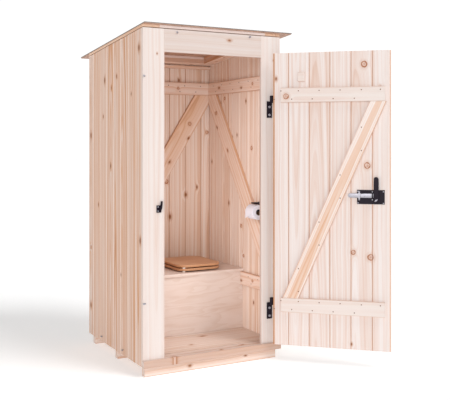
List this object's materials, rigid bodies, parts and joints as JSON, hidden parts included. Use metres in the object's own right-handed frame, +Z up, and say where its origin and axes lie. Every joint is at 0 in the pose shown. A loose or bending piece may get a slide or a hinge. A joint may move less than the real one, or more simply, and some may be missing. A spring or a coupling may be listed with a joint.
{
  "type": "wooden outhouse",
  "caption": "Small board-built outhouse cabin on skids, with a lean-to roof, a boxed bench seat with a lid, and a ledged and braced door that swings open.",
  "frame": {"origin": "centre of the underside of the middle skid", "axes": "+Z up, -Y towards the door side, +X to the right seen from the door side"},
  "size_m": [1.4746, 1.8113, 2.1955],
  "materials": {
    "pale_wood": "planed pale spruce, bare",
    "wall_wood": "planed spruce boards, bare, with knots",
    "plywood": "plain birch plywood",
    "seat_wood": "smooth pressed wood, satin lacquer",
    "roof_felt": "mineral roofing felt, matt",
    "black_iron": "black powder coat, semi-matt",
    "zinc_steel": "bright zinc plate",
    "paper": "soft white tissue"
  },
  "bodies": {
    "cabin": {"sill": "pale_wood", "stile_left": "pale_wood", "stile_right": "pale_wood", "lintel": "pale_wood", "skid_front": "wall_wood", "skid_middle": "wall_wood", "skid_back": "wall_wood", "floor_bearer_left": "wall_wood", "floor_bearer_right": "wall_wood", "floor": "wall_wood", "left_wall": "wall_wood", "right_wall": "wall_wood", "back_wall": "wall_wood", "ledge_left_upper": "wall_wood", "ledge_left_lower": "wall_wood", "ledge_right_upper": "wall_wood", "ledge_right_lower": "wall_wood", "brace_left": "wall_wood", "brace_right": "wall_wood", "ledge_back_upper": "wall_wood", "rail_back": "wall_wood", "brace_back": "wall_wood", "roof_rim": "wall_wood", "roof_frame_front": "wall_wood", "roof_frame_back": "wall_wood", "roof_frame_left": "wall_wood", "roof_frame_right": "wall_wood", "roof_sheet": "plywood", "bench_top": "plywood", "bench_front": "plywood", "seat_ring": "seat_wood", "roof_felt": "roof_felt", "pintle_upper": "black_iron", "pintle_lower": "black_iron", "keeper": "black_iron", "roll_holder": "black_iron", "seat_hinge_left": "zinc_steel", "seat_hinge_right": "zinc_steel", "toilet_roll": "paper"},
    "door": {"door_panel": "pale_wood", "door_ledge_upper": "pale_wood", "door_ledge_lower": "pale_wood", "door_brace": "pale_wood", "door_block": "pale_wood", "latch_plate": "black_iron", "latch_guide": "black_iron", "strap_upper": "black_iron", "strap_lower": "black_iron"},
    "seat_lid": {"seat_lid": "seat_wood"},
    "latch_lever": {"latch_lever": "black_iron"},
    "latch_bolt": {"latch_bolt": "zinc_steel"}
  },
  "joints": [
    {"name": "door_hinge", "type": "hinge", "parent": "cabin", "child": "door", "pos_m": [0.417, -0.518, 1], "axis": [0, 0, 1], "range_deg": [-136.3, 43.7]},
    {"name": "lid_hinge", "type": "hinge", "parent": "cabin", "child": "seat_lid", "pos_m": [0.152, 0.42, 0.571], "axis": [-1, 0, 0], "range_deg": [0, 95]},
    {"name": "lever_turn", "type": "hinge", "parent": "door", "child": "latch_lever", "pos_m": [0.88755, -1.02576, 1.078], "axis": [-0.6909, -0.723, 0], "range_deg": [-24, 0]},
    {"name": "bolt_slide", "type": "slide", "parent": "door", "child": "latch_bolt", "axis": [0.723, -0.6909, 0], "range_m": [0, 0.0401]}
  ],
  "couplings": [
    {"joint": "bolt_slide", "follows": "lever_turn", "m_per_rad": -0.0955}
  ]
}
